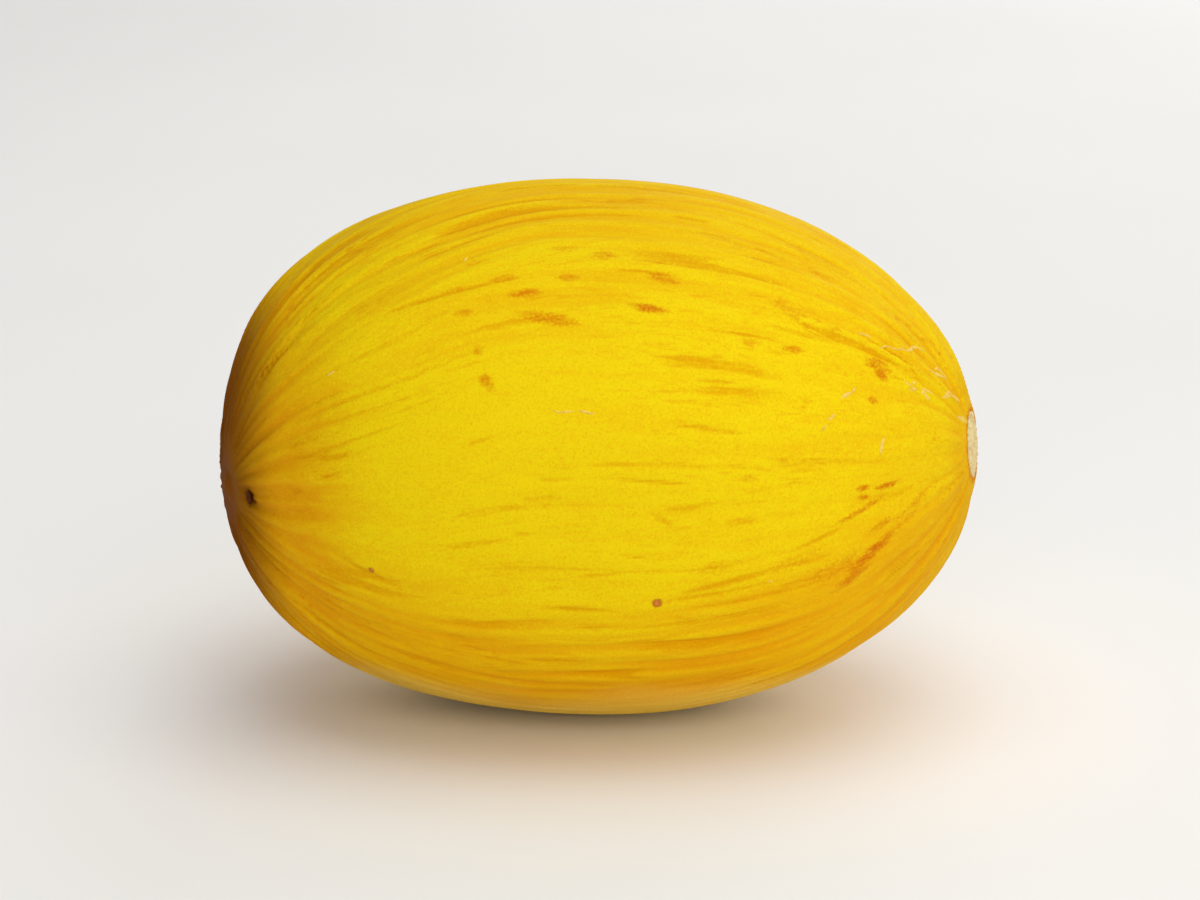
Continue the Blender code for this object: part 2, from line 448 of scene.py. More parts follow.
# The steepness that the low amber begins below, how many degrees higher that is at each end
# and over which distance it rises, and how many degrees the amber takes. Then the top amber's
# start and length, and how ragged both edges are.
LOW_AMBER_FROM_DEG = -10
HIGHER_AT_STEM_DEG = 14
HIGHER_AT_BLOSSOM_DEG = 8
STEM_END_RISE = 75 * MM
BLOSSOM_END_RISE = 80 * MM
LOW_AMBER_OVER_DEG = 36
HIGH_AMBER_DEG = (34, 40)
RAGGED_DEG = 12

# Where along the fruit each turn of colour begins, and how far it takes. The blossom end's
# amber, partly painted shade, and its dark brown painted shade both reach further in on its
# underside.
BLOSSOM_AMBER = (51.5 * MM, 46 * MM)
STEM_AMBER = (50 * MM, 48 * MM)
SCAR_AMBER = (98.5 * MM, 4 * MM)
BLOSSOM_END_SHADE = (88 * MM, 17 * MM)

# How chance, long streaks and the folds break the amber up. The extra amber in the deep folds
# is painted shade.
AMBER_BY_CHANCE = 0.14
AMBER_BY_STREAKS = 0.1
AMBER_AS_FOLD_SHADE = 0.32

# The pale ground spot: its strength, its height, and how soft and ragged its edge is.
GROUND_PALENESS = 0.8
GROUND_HEIGHT = 22 * MM
GROUND_EDGE = 13 * MM
GROUND_RAGGED = 7 * MM


def mark_strength(marks, places):
    """How strongly any of the marks colours each point, from 0 to 1."""
    strongest = np.zeros(len(places))
    for station, angle_deg, half_length, half_width, lean_deg, strength in marks:
        forward, sideways = from_mark(places, station * MM, angle_deg, lean_deg)
        off_middle = np.hypot(forward / (half_length * MM), sideways / (half_width * MM))
        strongest = np.maximum(strongest, strength * ease((MARK_END - off_middle) / MARK_FADE))
    return strongest


def ripening_and_shade(places, wrapped, folds, restless):
    """How amber, how dark with painted shade at the blossom end and how pale with lying on the soil
    each point is, from 0 to 1. The amber is partly the rind's own colour and partly painted shade,
    low on the sides, on top, towards the blossom end and in the deep folds.
    """
    uneven = noise_at(wrapped, RIPE_AREAS_MM, seed=61.0)
    streaky = noise_at(wrapped, RIPE_STREAKS_MM, seed=67.0)
    steep = steepness_deg(places) + RAGGED_DEG * uneven
    station = places[:, 0]
    height = places[:, 2]
    # The amber low on the sides, on top and towards the blossom end is partly painted shade.
    low_from = LOW_AMBER_FROM_DEG + HIGHER_AT_STEM_DEG * ease(station / STEM_END_RISE)
    low_from += HIGHER_AT_BLOSSOM_DEG * ease(-station / BLOSSOM_END_RISE)
    low = AMBER_LOW * ease((low_from - steep) / LOW_AMBER_OVER_DEG)
    high = AMBER_HIGH * step_up(steep, *HIGH_AMBER_DEG)
    blossom = step_up(-station - 0.25 * height, *BLOSSOM_AMBER)
    stem = AMBER_AT_STEM * step_up(station, *STEM_AMBER)
    stem += AMBER_ROUND_SCAR * step_up(station, *SCAR_AMBER)
    amber = np.maximum.reduce([low, high, blossom, stem])
    amber += AMBER_BY_CHANCE * uneven + AMBER_BY_STREAKS * streaky
    # Painted shade: more amber where the folds are deep, less where they are shallow.
    amber += AMBER_AS_FOLD_SHADE * restless * (step_up(folds, 0.38, 0.4) - 0.4)
    # Painted shade: the blossom end is darkened with dark brown, further in low down.
    blossom_end_shade = step_up(-station + 0.12 * np.abs(height) - 0.1 * height, *BLOSSOM_END_SHADE)
    off_floor = height + RADIUS + GROUND_RAGGED * noise_at(places, GROUND_EDGE_MM, seed=71.0)
    pale = GROUND_PALENESS * ease((GROUND_HEIGHT - off_floor) / GROUND_EDGE)
    return np.column_stack([np.clip(amber, 0.0, 1.0), blossom_end_shade, pale])


def bowed(places):
    """Bends the middle line, turning each cross-section to stay square to it."""
    rise = BOW.length
    towards = np.array(BOW.normalized())
    along = places[:, 0]
    off_line = places @ towards
    tilt = np.arctan(2 * rise * along / HALF_LENGTH**2)
    lift = rise * (along / HALF_LENGTH) ** 2 + off_line * (np.cos(tilt) - 1)
    bent = places + towards * lift[:, None]
    bent[:, 0] -= off_line * np.sin(tilt)
    return bent


def rind_surface(directions, scene):
    """Where the finished rind is in each direction, and what its skin is like there: arrays by
    the names that the rind's material reads."""
    settings = scene.melon_rind
    scar_radius = scene.melon_scars.scar_diameter / 2
    directions = directions / np.linalg.norm(directions, axis=1)[:, None]
    places, normals = plain_outline(directions)
    along, angle, off_core = rind_coordinates(places)
    wrapped = np.column_stack([along, RADIUS * np.cos(angle), RADIUS * np.sin(angle)])
    restless = restlessness(places, along, wrapped)
    folds, creases = fine_relief(wrapped, angle, off_core, restless)
    creases = np.maximum(creases, mark_strength(CREASES, places))
    sunk = settings.fold_depth * restless * folds + settings.crease_depth * creases**2
    sunk += broad_relief(places, angle, off_core, scar_radius, settings.furrow_depth)
    surface = bowed(places - normals * sunk[:, None])
    surface[:, 2] = np.maximum(surface[:, 2] + RADIUS - REST_SPOT_DEPTH, 0.0)
    collar = ease((scar_radius + SCAR_COLLAR - off_core) / SCAR_COLLAR)
    collar = np.where(places[:, 0] > 0, collar, 0)
    blush = np.maximum(mark_strength(BLUSHES, places), collar)
    # Painted shade: the pit and a ring round it, darkened with the pit's colour.
    pit = np.maximum(mark_strength([PIT_SHADE_HALO], places), pit_share(places))
    skin = {
        "rind": pattern_coordinates(along, angle, off_core),
        "crease": creases,
        "restless": restless,
        "ripening_and_shade": ripening_and_shade(places, wrapped, folds, restless),
        "marks": np.column_stack([mark_strength(RUSTY_STREAKS, places), blush, pit]),
    }
    return surface, skin


def direction_at(station, angle_deg):
    """The direction of a point that far along from the middle, turned up from the front."""
    fullness = BLOSSOM_END_FULLNESS if station < 0 else STEM_END_FULLNESS
    share = station / HALF_LENGTH
    around = (1 - abs(share) ** fullness) ** (1 / fullness)
    turn = math.radians(angle_deg)
    return np.array([share, -around * math.cos(turn), around * math.sin(turn)])


def rind_places(directions):
    """Where the finished rind is in each direction, in the scene."""
    scene = bpy.context.scene
    return rind_surface(directions, scene)[0] + np.array(scene["melon_box_shift"])


# --------
# Node materials.


def add_node(tree, kind, inputs, output=0, **settings):
    """Adds a node with its settings, links or fills its inputs, and gives one of its outputs."""
    node = tree.nodes.new("ShaderNode" + kind)
    for name, value in settings.items():
        setattr(node, name, value)
    for socket, value in inputs.items():
        if isinstance(value, bpy.types.NodeSocket):
            tree.links.new(value, node.inputs[socket])
        else:
            node.inputs[socket].default_value = value
    return node.outputs[output]


def new_material(name):
    """An empty node material: itself, its tree and its shader."""
    material = bpy.data.materials.new(name)
    material.use_nodes = True
    tree = material.node_tree
    return material, tree, tree.nodes["Principled BSDF"]


# Small healed holes in the rind, each (station mm, angle deg, radius mm).
PUNCTURES = [
    (21, -19, 1.45),
    (-61, -17, 1.0),
]

# How many radii the mottling adds, at its strongest, to how far off a puncture seems.
PUNCTURE_RAGGED = 1.6

# How far the rind's grain is drawn out lengthwise, the widths of what follows it, and the sizes
# of its mottling and its pores. Real pores are finer, and these are coarse enough to show.
GRAIN_STRETCH = 6
STREAK_WIDTH = 3.2 * MM
FLECK_WIDTH = 1.3 * MM
FLECK_GROUP_WIDTH = 8 * MM
MOTTLE_SIZE = 0.75 * MM
PORE_SIZE = 0.6 * MM

# How far the streaks and the mottling move the amber, and what is taken off again for both.
AMBER_BY_GRAIN = 0.6
AMBER_BY_MOTTLE = 1.2
AMBER_LESS = 0.87


def puncture_distance(tree, place, mottle):
    """How many radii each point is from the nearest puncture's middle, with an uneven edge."""
    nearest = None
    for station, angle_deg, radius in PUNCTURES:
        middle = rind_places(direction_at(station * MM, angle_deg)[None, :])[0]
        distance = add_node(tree, "VectorMath", {0: place, 1: middle}, output="Value",
                            operation="DISTANCE")
        radii = add_node(tree, "Math", {0: distance, 1: radius * MM}, operation="DIVIDE")
        nearest = radii if nearest is None else add_node(
            tree, "Math", {0: nearest, 1: radii}, operation="MINIMUM")
    return add_node(tree, "Math", {0: mottle, 1: PUNCTURE_RAGGED, 2: nearest}, operation="MULTIPLY_ADD")


def waxy_melon_rind():
    """Canary melon rind as it ripened: a thin wax over firm skin. It gives the eye a matt satin
    yellow that is amber in its folds and at its ends, partly its own colour and partly painted
    shade, flecked with rust along the furrows. Painted shade also darkens its blossom end, its
    wrinkles and its pit, and in part its creases."""
    settings = bpy.context.scene.melon_rind
    material, tree, shader = new_material("waxy_melon_rind")
    place = add_node(tree, "TexCoord", {}, output="Object")
    rind, ripe_and_shade, marks = (add_node(tree, "Attribute", {}, output="Vector", attribute_name=name)
                         for name in ("rind", "ripening_and_shade", "marks"))
    crease, restless = (add_node(tree, "Attribute", {}, output="Fac", attribute_name=name)
                        for name in ("crease", "restless"))

    # The grain runs lengthwise: streaks, flecks that gather in groups, and mottling between.
    grain = add_node(tree, "Mapping", {"Vector": rind, "Scale": (1 / GRAIN_STRETCH, 1, 1)})
    streaks = add_node(tree, "TexNoise", {
        "Vector": grain, "Scale": 1 / STREAK_WIDTH, "Detail": 4.0, "Distortion": 0.3})
    flecks = add_node(tree, "TexNoise", {
        "Vector": grain, "Scale": 1 / FLECK_WIDTH, "Detail": 5.0, "Distortion": 0.4})
    groups = add_node(tree, "TexNoise", {
        "Vector": grain, "Scale": 1 / FLECK_GROUP_WIDTH, "Detail": 2.0})
    mottle = add_node(tree, "TexNoise", {
        "Vector": place, "Scale": 1 / MOTTLE_SIZE, "Detail": 3.0})

    # Amber follows the ripening and its painted shade, broken up by the streaks and the mottling.
    amber, blossom_end_shade, pale = (add_node(tree, "SeparateXYZ", {0: ripe_and_shade}, output=part) for part in "XYZ")
    amber = add_node(tree, "Math", {0: streaks, 1: AMBER_BY_GRAIN, 2: amber}, operation="MULTIPLY_ADD")
    amber = add_node(tree, "Math", {0: mottle, 1: AMBER_BY_MOTTLE, 2: amber}, operation="MULTIPLY_ADD")
    amber = add_node(tree, "Math", {0: amber, 1: AMBER_LESS}, operation="SUBTRACT",
                     use_clamp=True)

    # The flecks and the mottling crumble the creases here, and the marks further down.
    crumble = add_node(tree, "Math", {0: flecks, 1: mottle})
    # The creases are darkened partly in their own colour and partly with painted shade.
    crease_colour_and_shade = add_node(tree, "Math", {0: crease, 1: crumble}, operation="MULTIPLY")
    crease_colour_and_shade = add_node(tree, "MapRange", {
        "Value": crease_colour_and_shade, "From Min": 0.2, "From Max": 1.1, "To Max": 0.75},
        interpolation_type="SMOOTHSTEP")

    # Thin wrinkles follow the strongest flecks where the rind is restless. They are sunk in the
    # bump and darkened with amber as painted shade.
    wrinkles_and_shade = add_node(tree, "MapRange", {
        "Value": flecks, "From Min": 0.5, "From Max": 0.78, "To Max": 0.5},
        interpolation_type="SMOOTHSTEP")
    wrinkles_and_shade = add_node(tree, "Math", {0: wrinkles_and_shade, 1: restless}, operation="MULTIPLY")

    # The mottling leaves small specks of yellow wherever the skin has turned, and the pores
    # leave darker ones all over.
    speckled = add_node(tree, "MapRange", {
        "Value": mottle, "From Min": 0.48, "From Max": 0.72, "To Max": 0.4})
    pores = add_node(tree, "TexNoise", {"Vector": place, "Scale": 1 / PORE_SIZE, "Detail": 2.0})
    pored = add_node(tree, "MapRange", {
        "Value": pores, "From Min": 0.5, "From Max": 0.75, "To Max": 0.4})

    # Loose rust lies wherever a group of flecks falls, mostly where the rind is restless.
    grouped = add_node(tree, "MapRange", {"Value": groups, "From Min": 0.52, "From Max": 0.7},
                       interpolation_type="SMOOTHSTEP")
    fleck = add_node(tree, "MapRange", {"Value": flecks, "From Min": 0.48, "From Max": 0.72},
                     interpolation_type="SMOOTHSTEP")
    loose_rust = grouped
    for share in (fleck, restless, 0.5):
        loose_rust = add_node(tree, "Math", {0: loose_rust, 1: share}, operation="MULTIPLY")

    rusty, blushed, pit = (add_node(tree, "SeparateXYZ", {0: marks}, output=part) for part in "XYZ")
    ragged = []
    for mark in (rusty, blushed):
        mark = add_node(tree, "Math", {0: mark, 1: crumble}, operation="MULTIPLY")
        ragged.append(add_node(tree, "MapRange", {
            "Value": mark, "From Min": 0.36, "From Max": 1.2, "To Max": 0.88},
            interpolation_type="SMOOTHSTEP"))
    rusty, blushed = ragged

    radii = puncture_distance(tree, place, mottle)
    punctured = add_node(tree, "MapRange", {
        "Value": radii, "From Min": 2.0, "From Max": 1.4, "To Max": 0.9},
        interpolation_type="SMOOTHSTEP")
    healed = add_node(tree, "MapRange", {
        "Value": radii, "From Min": 1.35, "From Max": 0.95, "To Max": 0.8},
        interpolation_type="SMOOTHSTEP")

    # Each layer covers those above it in this list.
    skin = settings.yellow
    for share, painted in (
        # The amber is partly painted shade.
        (amber, settings.amber),
        (speckled, settings.yellow),
        # Painted shade in the wrinkles.
        (wrinkles_and_shade, settings.amber),
        (pale, settings.ground_colour),
        (pored, settings.grain_and_crease_shade),
        # Painted shade in the creases, partly their own colour.
        (crease_colour_and_shade, settings.grain_and_crease_shade),
        (loose_rust, settings.fleck_colour),
        # Painted shade at the blossom end.
        (blossom_end_shade, settings.blossom_end_shade),
        (rusty, settings.fleck_colour),
        (blushed, settings.blush_colour),
        (punctured, settings.puncture_colour),
        (healed, settings.healed_colour),
        # Painted shade in and round the pit.
        (pit, settings.pit_shade),
    ):
        skin = add_node(tree, "Mix", {0: share, 6: skin, 7: painted}, output=2, data_type="RGBA")
    tree.links.new(skin, shader.inputs["Base Color"])

    roughness = add_node(tree, "MapRange", {
        "Value": streaks, "From Min": 0.3, "From Max": 0.7, "To Min": 0.52, "To Max": 0.66})
    tree.links.new(roughness, shader.inputs["Roughness"])
    shader.inputs["IOR"].default_value = 1.43
    shader.inputs["Specular IOR Level"].default_value = 0.02

    relief = add_node(tree, "Math", {0: pores, 1: 0.7, 2: streaks}, operation="MULTIPLY_ADD")
    relief = add_node(tree, "Math", {0: relief, 1: wrinkles_and_shade}, operation="SUBTRACT")
    bump = add_node(tree, "Bump", {"Height": relief, "Strength": 0.4, "Distance": 0.3 * MM})
    tree.links.new(bump, shader.inputs["Normal"])
    return material


# How wide the cork's fibres and its stained blotches are.
FIBRE_SIZE = 0.7 * MM
BLOTCH_SIZE = 4 * MM


def dry_cork(name, face, cracks, crack_size):
    """Corky tissue that healed in the open air and dried. It gives the eye a matt pale crust
    with a fine fibre and a few thin cracks. Its darker colour stains and wears the crust, and is
    painted shade down in the cracks."""
    material, tree, shader = new_material(name)
    place = add_node(tree, "TexCoord", {}, output="Object")
    fibre = add_node(tree, "TexNoise", {
        "Vector": place, "Scale": 1 / FIBRE_SIZE, "Detail": 4.0, "Distortion": 0.6})
    blotch = add_node(tree, "TexNoise", {"Vector": place, "Scale": 1 / BLOTCH_SIZE, "Detail": 2.0})
    bent = add_node(tree, "VectorMath", {0: blotch, 3: 1.5 * crack_size}, operation="SCALE")
    bent = add_node(tree, "VectorMath", {0: place, 1: bent})
    to_crack = add_node(tree, "TexVoronoi", {"Vector": bent, "Scale": 1 / crack_size},
                        feature="DISTANCE_TO_EDGE", output="Distance")
    # Painted shade: the crust darkens close to each crack.
    crack = add_node(tree, "MapRange", {
        "Value": to_crack, "From Min": 0.07, "From Max": 0.0, "To Max": 0.45})
    worn = add_node(tree, "MapRange", {
        "Value": fibre, "From Min": 0.48, "From Max": 0.75, "To Max": 0.4},
        interpolation_type="SMOOTHSTEP")
    stained = add_node(tree, "MapRange", {
        "Value": blotch, "From Min": 0.5, "From Max": 0.75, "To Max": 0.35},
        interpolation_type="SMOOTHSTEP")
    surface = face
    for share in (worn, stained, crack):
        surface = add_node(tree, "Mix", {0: share, 6: surface, 7: cracks}, output=2,
                           data_type="RGBA")
    tree.links.new(surface, shader.inputs["Base Color"])
    roughness = add_node(tree, "MapRange", {
        "Value": fibre, "From Min": 0.2, "From Max": 0.8, "To Min": 0.75, "To Max": 0.92})
    tree.links.new(roughness, shader.inputs["Roughness"])
    shader.inputs["Specular IOR Level"].default_value = 0.15
    relief = add_node(tree, "Math", {0: fibre, 1: crack}, operation="SUBTRACT")
    bump = add_node(tree, "Bump", {"Height": relief, "Strength": 0.6, "Distance": 0.2 * MM})
    tree.links.new(bump, shader.inputs["Normal"])
    return material


# How wide the paper's faint clouds are, and how bright beside the paper round them.
PAPER_CLOUD = 400 * MM
PAPER_SHADE = 0.97


def matt_studio_paper(floor_colour):
    """Uncoated studio paper, rolled smooth. It gives the eye a pale matt ground with a faint
    unevenness."""
    material, tree, shader = new_material("matt_studio_paper")
    place = add_node(tree, "TexCoord", {}, output="Object")
    cloud = add_node(tree, "TexNoise", {"Vector": place, "Scale": 1 / PAPER_CLOUD, "Detail": 2.0})
    clouded = add_node(tree, "MapRange", {"Value": cloud, "From Min": 0.4, "From Max": 0.7})
    shade = [part * PAPER_SHADE for part in floor_colour[:3]] + [1.0]
    paper = add_node(tree, "Mix", {0: clouded, 6: floor_colour, 7: shade}, output=2,
                     data_type="RGBA")
    tree.links.new(paper, shader.inputs["Base Color"])
    shader.inputs["Roughness"].default_value = 0.9
    shader.inputs["Specular IOR Level"].default_value = 0.1
    return material


# --------
# The fruit's pieces.

# The rind's quads: across each end and each side of the box that it is rounded from.
QUADS_ACROSS = 144
QUADS_ALONG = 96


def gridded_box():
    """A closed box of quads, from -1 to 1 each way."""
    box = bmesh.new()
    for turn in range(4):
        side = Matrix.Rotation(turn * math.pi / 2, 4, "X") @ Matrix.Translation((0, 0, 1))
        bmesh.ops.create_grid(box, x_segments=QUADS_ALONG, y_segments=QUADS_ACROSS, size=1.0,
                              matrix=side)
    for facing in (-1, 1):
        end = Matrix.Rotation(facing * math.pi / 2, 4, "Y") @ Matrix.Translation((0, 0, 1))
        bmesh.ops.create_grid(box, x_segments=QUADS_ACROSS, y_segments=QUADS_ACROSS, size=1.0,
                              matrix=end)
    bmesh.ops.remove_doubles(box, verts=box.verts, dist=0.001)
    return box


def add_piece(name, shape, material):
    """Puts a finished shape in the scene as a smooth piece that rides on the fruit."""
    mesh = bpy.data.meshes.new(name)
    shape.to_mesh(mesh)
    shape.free()
    mesh.materials.append(material)
    mesh.shade_smooth()
    piece = bpy.data.objects.new(name, mesh)
    bpy.context.scene.collection.objects.link(piece)
    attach(piece, "root")
    return piece


class MELON_OT_rind(bpy.types.Operator):
    """Grow the rind, with its furrows, folds, creases and flat rest spot"""

    bl_idname = "melon.rind"
    bl_label = "Rind"

    def execute(self, context):
        scene = context.scene
        box = gridded_box()
        corners = np.array([vertex.co for vertex in box.verts])
        directions = np.tan(corners * math.pi / 4)
        surface, skin = rind_surface(directions, scene)
        middle = (surface.min(axis=0) + surface.max(axis=0)) / 2
        cad_middle = (CAD_LOW + CAD_HIGH) / 2
        shift = (cad_middle.x - middle[0], cad_middle.y - middle[1], CAD_LOW.z)
        scene["melon_box_shift"] = shift
        for vertex, place in zip(box.verts, surface + np.array(shift)):
            vertex.co = place
        piece = add_piece("rind", box, waxy_melon_rind())
        for name, values in skin.items():
            kind, key = ("FLOAT", "value") if values.ndim == 1 else ("FLOAT_VECTOR", "vector")
            attribute = piece.data.attributes.new(name, kind, "POINT")
            attribute.data.foreach_set(key, values.ravel())
        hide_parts("melon")
        return {"FINISHED"}


# The stem scar's mesh, and the heights of its edge and its foot from the fruit's plain outline.
SCAR_RINGS = 26
SCAR_STEPS = 96
SCAR_EDGE = -0.74 * MM
SCAR_FOOT = -2.2 * MM

# Its face: the dome's rise, the cracks' depth, spacing and width (a share of the noise), the
# lumps' height and size, and the growth rings' height and how many radians their wave takes.
SCAR_DOME = 0.5 * MM
SCAR_CRACK = 0.3 * MM
SCAR_CRACK_SPACING = 3.2 * MM
SCAR_CRACK_WIDTH = 0.1
SCAR_LUMP = 0.16 * MM
SCAR_LUMP_SIZE = 0.9 * MM
SCAR_GROWTH_RING = 0.12 * MM
SCAR_GROWTH_WAVE = 17


def scar_top(flat, share):
    """The height of the scar's weathered face at a point, that share of the way to its edge."""
    crack = max(0.0, 1 - abs(noise.noise(flat / SCAR_CRACK_SPACING)) / SCAR_CRACK_WIDTH)
    rough = SCAR_LUMP * noise.noise(flat / SCAR_LUMP_SIZE)
    growth_rings = SCAR_GROWTH_RING * math.cos(SCAR_GROWTH_WAVE * share) * share
    return SCAR_EDGE + SCAR_DOME * (1 - share**2) + rough + growth_rings - SCAR_CRACK * crack


class MELON_OT_stem_scar(bpy.types.Operator):
    """Add the round scar of dry tissue where the fruit came off its stalk"""

    bl_idname = "melon.stem_scar"
    bl_label = "Stem Scar"

    def execute(self, context):
        scars = context.scene.melon_scars
        profile = [(ring / SCAR_RINGS, 1.0) for ring in range(SCAR_RINGS + 1)]
        profile += [(1.0, 0.0), (0.0, 0.0)]
        disc = bmesh.new()
        corners = [disc.verts.new((share, 0.0, raised)) for share, raised in profile]
        edges = [disc.edges.new(pair) for pair in zip(corners, corners[1:])]
        bmesh.ops.spin(disc, geom=corners + edges, cent=(0, 0, 0), axis=(0, 0, 1),
                       angle=2 * math.pi, steps=SCAR_STEPS, use_merge=True)
        bmesh.ops.remove_doubles(disc, verts=disc.verts, dist=0.0001)
        for vertex in disc.verts:
            flat = Vector((vertex.co.x, vertex.co.y, 0.0))
            share = flat.length
            around = flat.normalized()

            # The edge swells and narrows in broad waves and in finer ones.
            ragged = 1 + 0.1 * noise.noise(around * 2.7) + 0.05 * noise.noise(around * 8.0)
            flat = flat * ragged * scars.scar_diameter / 2
            height = scar_top(flat, share) if vertex.co.z > 0.5 else SCAR_FOOT
            vertex.co = flat + Vector((0, 0, height))
        bmesh.ops.recalc_face_normals(disc, faces=disc.faces[:])
        tilt = math.atan(2 * BOW.length / HALF_LENGTH)
        outward = Vector((math.cos(tilt), 0, 0)) + BOW.normalized() * math.sin(tilt)
        pole = Vector((HALF_LENGTH, BOW.y, BOW.z + RADIUS - REST_SPOT_DEPTH))
        pole += Vector(context.scene["melon_box_shift"])
        facing = outward.to_track_quat("Z", "Y").to_matrix().to_4x4()
        disc.transform(Matrix.Translation(pole) @ facing)
        cork = dry_cork("dried_stem_cork", scars.cork_colour, scars.cork_stain_and_crack_shade, 3.4 * MM)
        add_piece("stem_scar", disc, cork)
        return {"FINISHED"}


# The blossom's remnant: half its width, height and thickness, and how far it sits down.
REMNANT_HALF_SIZES = Vector((0.9, 1.8, 0.7)) * MM
REMNANT_SUNK = 0.9 * MM


class MELON_OT_blossom_remnant(bpy.types.Operator):
    """Add the shrivelled remnant of the blossom in its pit beside the button"""

    bl_idname = "melon.blossom_remnant"
    bl_label = "Blossom Remnant"

    def execute(self, context):
        scars = context.scene.melon_scars
        rim, normals = plain_outline(direction_at(PIT_STATION, PIT_ANGLE_DEG)[None, :])
        outward = Vector(normals[0])
        centre = Vector(bowed(rim)[0]) + Vector((0, 0, RADIUS - REST_SPOT_DEPTH))
        centre += Vector(context.scene["melon_box_shift"]) - outward * REMNANT_SUNK
        upright = outward.to_track_quat("Z", "Y").to_matrix().to_4x4()
        crumb = bmesh.new()
        bmesh.ops.create_icosphere(crumb, subdivisions=4, radius=1.0)
        for vertex in crumb.verts:
            shrivelled = 1 + 0.3 * noise.noise(vertex.co * 2.2) + 0.14 * noise.noise(vertex.co * 6)
            vertex.co = vertex.co * shrivelled * REMNANT_HALF_SIZES
        crumb.transform(Matrix.Translation(centre) @ upright)
        dried = dry_cork("shrivelled_blossom", scars.remnant_colour, scars.remnant_stain_and_crack_shade,
                         1.6 * MM)
        add_piece("blossom_remnant", crumb, dried)
        return {"FINISHED"}


# Healed scratches, each (station mm, angle deg, length mm, width mm, lean deg).
SCRATCHES = [
    (86, 53, 8.0, 0.5, 43),
    (91, 60, 8.5, 0.7, 53),
    (79, 52, 3.4, 0.6, 12),
    (75, 30, 3.4, 1.0, 38),
    (77, 32, 2.2, 0.6, 60),
    (71, 23, 2.6, 0.8, 45),
    (69, 20, 2.0, 0.5, 62),
    (84, 15, 4.6, 0.8, 82),
    (91, 41, 2.8, 0.7, -20),
    (92, 40, 2.2, 0.8, 35),
    (92, 43, 1.8, 0.6, 70),
    (95, 43, 2.4, 1.0, 15),
    (95, 40, 2.0, 0.8, -40),
    (94, 41, 1.6, 0.6, 80),
    (98, 66, 4.2, 0.6, 50),
    (97, 60, 5.6, 0.8, 54),
    (100, 55, 6.5, 0.9, 66),
    (102, 45, 2.4, 0.8, 60),
    (-6, 22, 6.5, 0.5, -3),
    (1, 22, 5.0, 0.6, -8),
    (53, -18, 1.4, 0.7, 0),
    (-37, 59, 1.7, 0.7, 60),
    (-75, 33, 2.2, 0.7, 30),
]
SCRATCH_QUADS_LONG = 26
SCRATCH_QUADS_WIDE = 6
SCRATCH_SUNK = 0.25 * MM

# How much a scratch thins to its tips, varies in width and height, and bends for its length.
SCRATCH_TAPER = 0.9
SCRATCH_UNEVEN_WIDTH = 0.35
SCRATCH_UNEVEN_HEIGHT = 0.4
SCRATCH_BEND = 0.1


def add_scratch(made, number, scratch, height):
    """Adds one closed sliver that follows the rind: its crown stands up and its base is sunk."""
    station, angle_deg, long, wide, lean_deg = scratch
    lean = math.radians(lean_deg)
    around = RADIUS * abs(direction_at(station * MM, 0)[1]) / MM
    base = bmesh.ops.create_grid(made, x_segments=SCRATCH_QUADS_LONG,
                                 y_segments=SCRATCH_QUADS_WIDE, size=1.0)["verts"]
    faces = list({face for vertex in base for face in vertex.link_faces})
    raised = bmesh.ops.extrude_face_region(made, geom=faces, use_keep_orig=True)["geom"]
    crown = [part for part in raised if isinstance(part, bmesh.types.BMVert)]
    directions = []
    lifts = []
    for vertex in base + crown:
        share, across = vertex.co.x, vertex.co.y
        taper = math.sqrt(1 - SCRATCH_TAPER * share**2)
        wobble = 1 + SCRATCH_UNEVEN_WIDTH * noise.noise(Vector((share * 2.2, number * 5.3, 0)))
        bend = SCRATCH_BEND * long * noise.noise(Vector((share * 1.1, number * 3.1, 9)))
        forward = share * long / 2
        sideways = across * wide / 2 * taper * wobble + bend
        run = forward * math.cos(lean) - sideways * math.sin(lean)
        climb = forward * math.sin(lean) + sideways * math.cos(lean)
        angle = angle_deg + math.degrees(climb / around)
        directions.append(direction_at((station + run) * MM, angle))
        rough = 1 + SCRATCH_UNEVEN_HEIGHT * noise.noise(Vector((forward * 1.6, across, number)))
        lifts.append(height * (1 - across**2) * taper * rough)
    directions = np.array(directions)
    normals = plain_outline(directions)[1]
    lifts = np.array(lifts)
    lifts[:len(base)] = -SCRATCH_SUNK
    for vertex, place in zip(base + crown, rind_places(directions) + normals * lifts[:, None]):
        vertex.co = place


class MELON_OT_healed_scratches(bpy.types.Operator):
    """Add the thin corky lines of scratches that healed while the fruit grew"""

    bl_idname = "melon.healed_scratches"
    bl_label = "Healed Scratches"

    def execute(self, context):
        scars = context.scene.melon_scars
        made = bmesh.new()
        for number, scratch in enumerate(SCRATCHES):
            add_scratch(made, number, scratch, scars.scratch_height)
        bmesh.ops.recalc_face_normals(made, faces=made.faces[:])
        cork = dry_cork("healed_scratch_cork", scars.scratch_colour, scars.scratch_stain_and_crack_shade,
                        1.4 * MM)
        add_piece("healed_scratches", made, cork)
        return {"FINISHED"}


# --------
# The stage.

FLOOR_SIZE = 12.0

# Each light's place from the fruit's middle, and its size.
KEY_LIGHT = (Vector((0.40, -1.52, 0.41)), 1.4)
TOP_LIGHT = (Vector((0.20, -0.15, 1.45)), 1.4)
BACK_LIGHT = (Vector((0.50, 1.50, 0.75)), 1.2)

# The soft light from all round, on the blossom end's side and on the stem end's: the X of the
# direction, and the light's strength from there on.
DIM_SIDE = (-0.8, 0.14)
BRIGHT_SIDE = (0.15, 0.66)

# How far the camera aims from the fruit's middle.
AIM_OFFSET = Vector((0.7, 0.0, -1.4)) * MM


